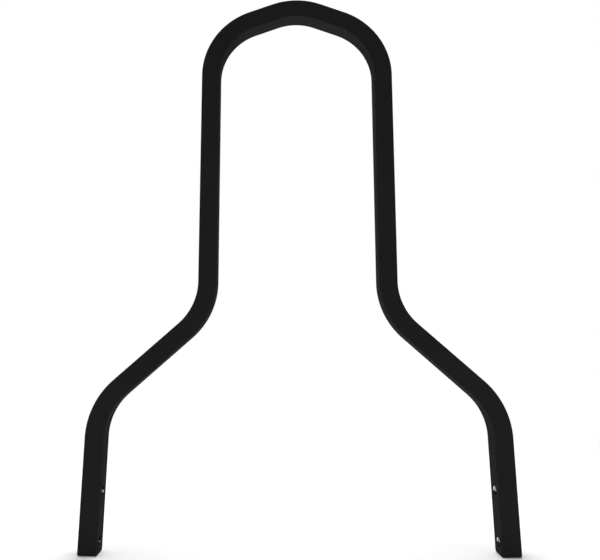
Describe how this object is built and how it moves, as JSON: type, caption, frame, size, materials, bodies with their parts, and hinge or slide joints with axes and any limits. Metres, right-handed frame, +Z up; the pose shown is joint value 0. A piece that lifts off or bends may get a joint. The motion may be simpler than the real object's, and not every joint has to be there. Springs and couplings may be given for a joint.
{
  "type": "sissy bar",
  "caption": "Motorcycle sissy bar: a hoop of square steel bar with a pointed arch, flared at the neck to legs with tapped cross holes that bolt between the rear side plates.",
  "frame": {"origin": "midway between the two feet, level with their cut ends, in the middle plane of the bar", "axes": "+Z up the legs to the top of the arch, +X across from the left leg to the right leg as the picture shows them, +Y from the front face of the bar to its back face"},
  "size_m": [0.283, 0.0126, 0.381],
  "materials": {
    "black_paint": "matt black powder coat with a fine grain",
    "bare_steel": "bright cut metal of the tapped holes"
  },
  "bodies": {
    "root": {"bent_bar": "black_paint"}
  },
  "joints": []
}
